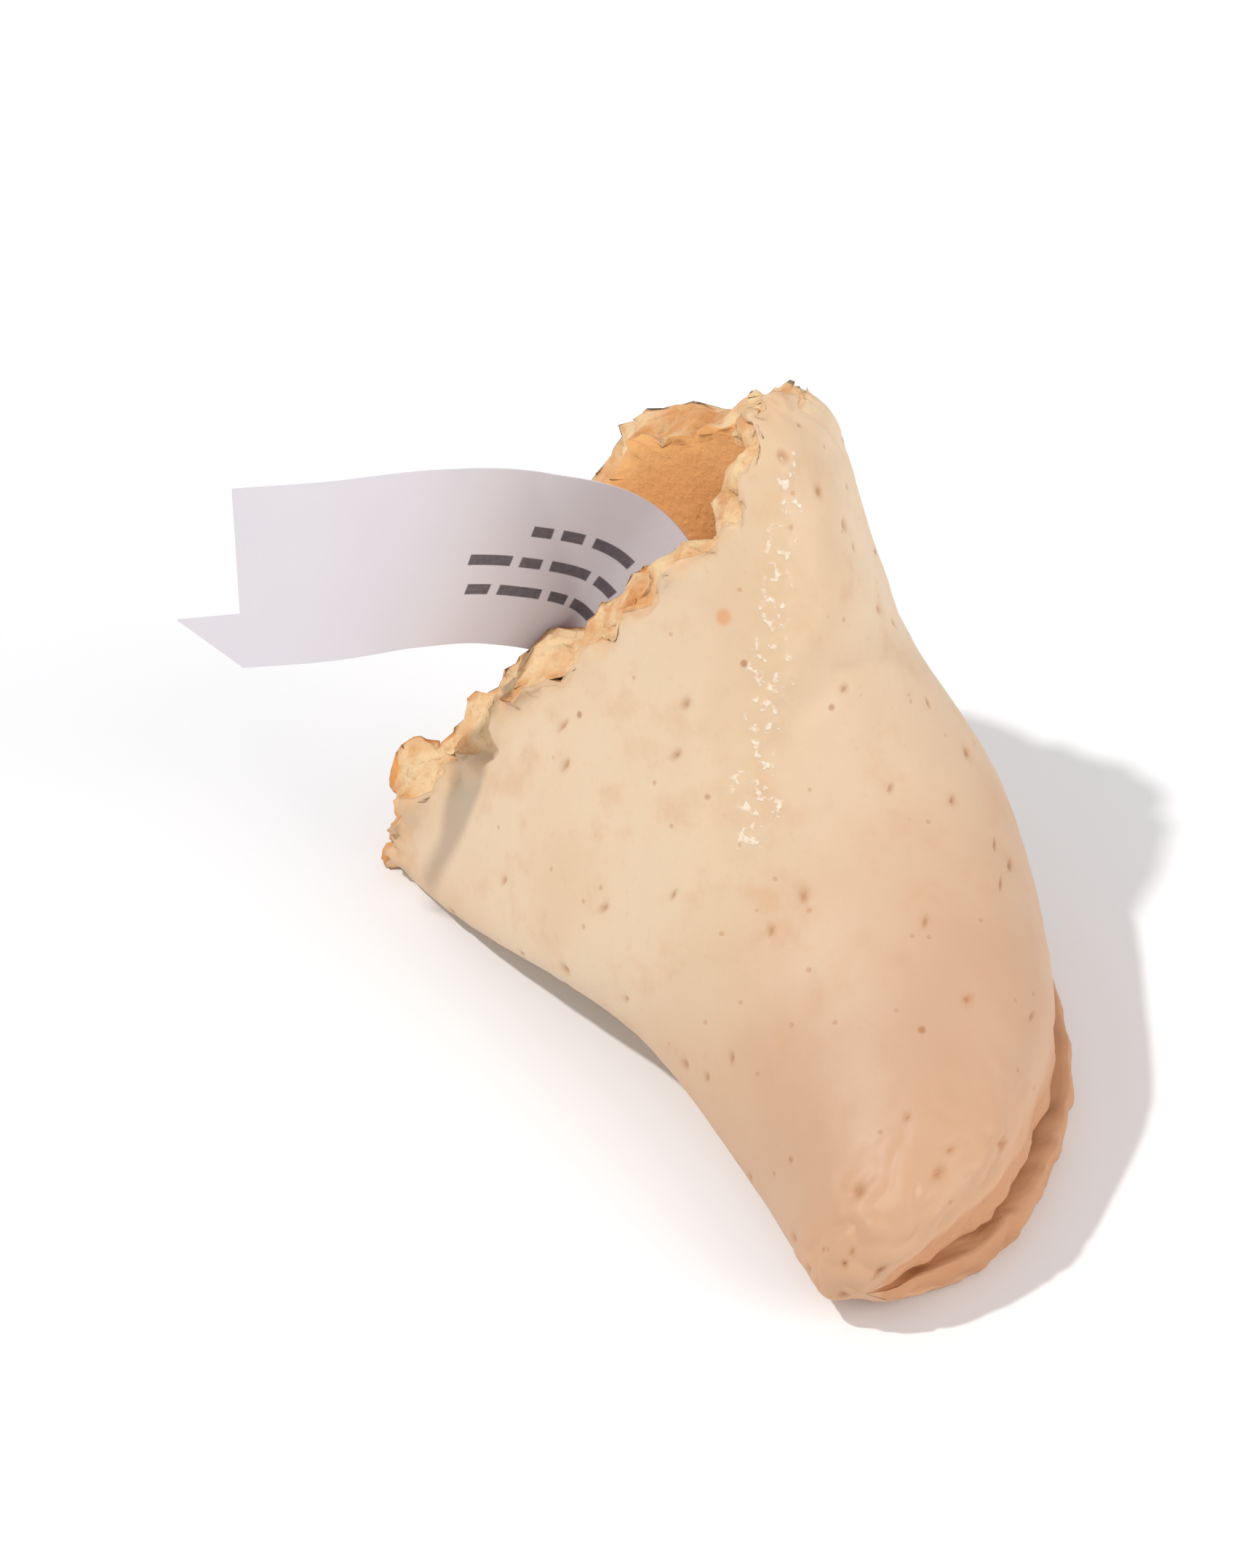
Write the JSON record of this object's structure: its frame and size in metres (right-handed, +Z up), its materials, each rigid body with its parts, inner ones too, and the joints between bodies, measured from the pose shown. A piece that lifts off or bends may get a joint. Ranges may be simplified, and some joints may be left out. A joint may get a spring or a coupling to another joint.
{
  "type": "fortune cookie",
  "caption": "Half of a broken fortune cookie: a hollow folded wafer pouch with a rounded fold, an open seam with a lip, a blunt horn, a torn mouth and a paper slip hanging out of it",
  "frame": {"origin": "middle of the bounding box, on the ground that the half lies on", "axes": "+Z up, -Y towards the horn, +X towards the seam, -X and +Y towards the torn mouth and the slip"},
  "size_m": [0.047, 0.0466, 0.0344],
  "materials": {
    "baked_wafer": "baked, cream with darker rims, fine pores and a slight sheen",
    "slip_paper": "matt white paper"
  },
  "bodies": {
    "root": {"cookie_half": "baked_wafer", "fortune_slip": "slip_paper"}
  },
  "joints": []
}
